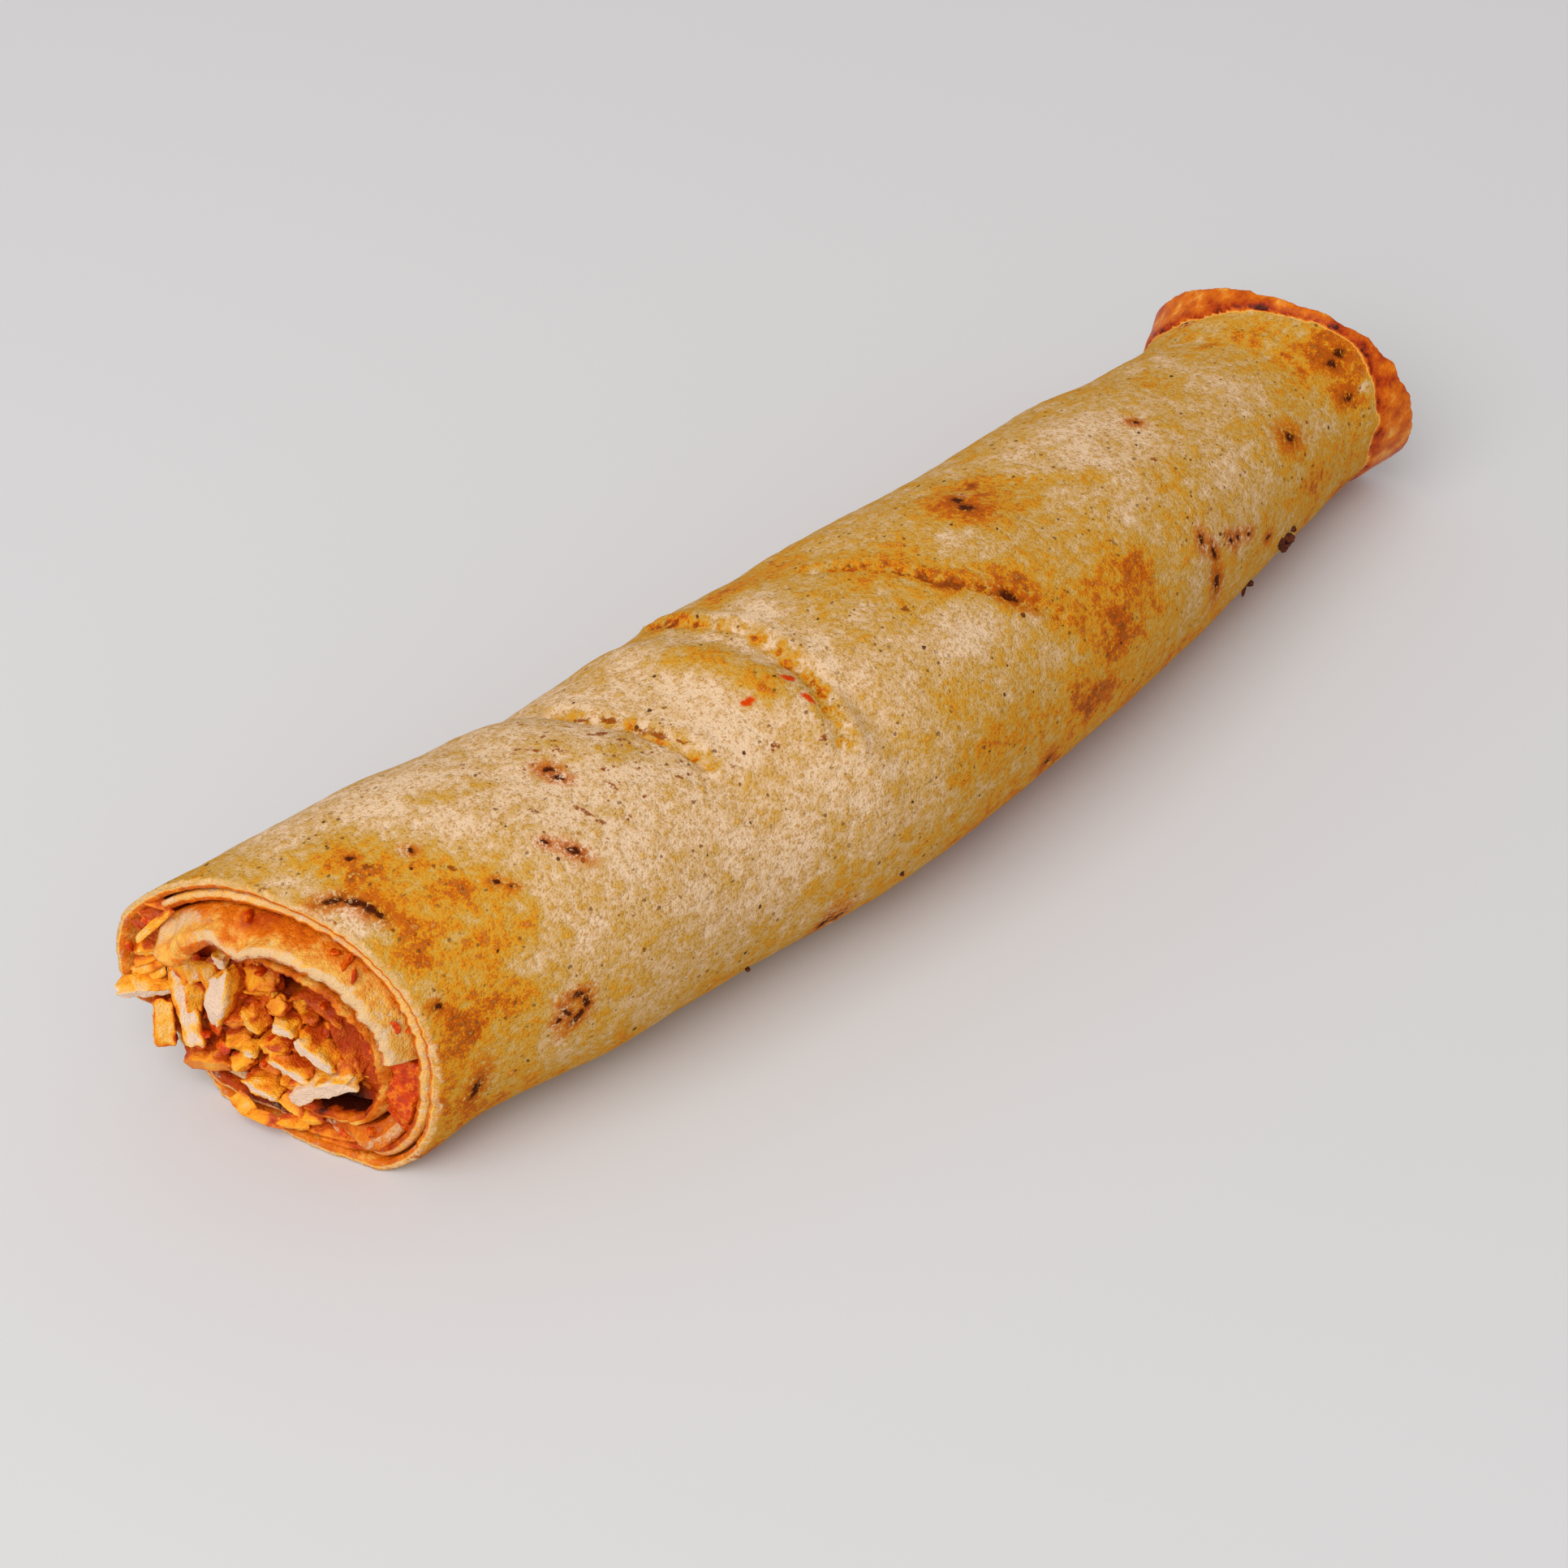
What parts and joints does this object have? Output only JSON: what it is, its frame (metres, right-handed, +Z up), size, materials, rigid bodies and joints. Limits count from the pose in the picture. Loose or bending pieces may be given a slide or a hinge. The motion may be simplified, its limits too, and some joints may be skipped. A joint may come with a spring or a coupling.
{
  "type": "rolled flatbread wrap with sliced meat",
  "caption": "Toasted flatbread rolled round a long filling of sliced meat, cut open at one end, with a flared, oil-stained lip at the other. It lies on a flat spot along its underside.",
  "frame": {"origin": "centre of the wrap's bounding box in X and Y, on the plane it rests on", "axes": "+X along the wrap from the cut end with the filling to the flared end, +Z up; the wrap bows towards -Y"},
  "size_m": [0.2818, 0.0736, 0.0522],
  "materials": {
    "bread": "toasted, dusty, beige with amber and char spots",
    "meat": "moist, white cut faces with orange seared edges",
    "tomato": "wet, red-orange"
  },
  "bodies": {
    "root": {"flatbread": "bread", "meat_filling": "meat", "tomato_strip": "tomato"}
  },
  "joints": []
}
